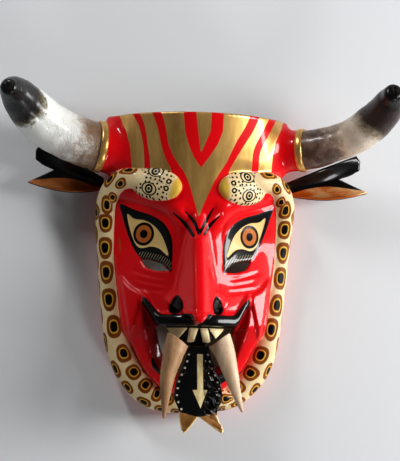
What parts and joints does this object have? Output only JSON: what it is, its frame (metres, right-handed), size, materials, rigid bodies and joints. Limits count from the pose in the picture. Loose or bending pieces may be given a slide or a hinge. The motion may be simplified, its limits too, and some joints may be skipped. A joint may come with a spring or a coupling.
{
  "type": "devil mask",
  "caption": "Carved and lacquered red wooden devil mask with bull horns in sockets, relief snakes round the face, tusks, and a leather tongue and ears",
  "frame": {"origin": "middle of the footprint, on the plane of the mask's flat rear rim", "axes": "+X across the face to the viewer's right, +Y up the face to the crown, +Z out of the face"},
  "size_m": [0.3652, 0.3138, 0.1209],
  "materials": {
    "lacquered_wood": "glossy red lacquer with painted cream, black and gold leaf, bare wood inside",
    "horn": "polished natural horn, black at the tip, grey-white to mottled tan",
    "tusk": "matte natural tusk with fine pores",
    "tongue_leather": "glossy black lacquered leather, painted gold and cream",
    "ear_leather": "glossy black lacquered leather, gold-orange inside"
  },
  "bodies": {
    "root": {"mask_body": "lacquered_wood", "horn_left": "horn", "horn_right": "horn", "tusk_left": "tusk", "tusk_right": "tusk", "tongue": "tongue_leather", "ear_left": "ear_leather", "ear_right": "ear_leather"}
  },
  "joints": []
}
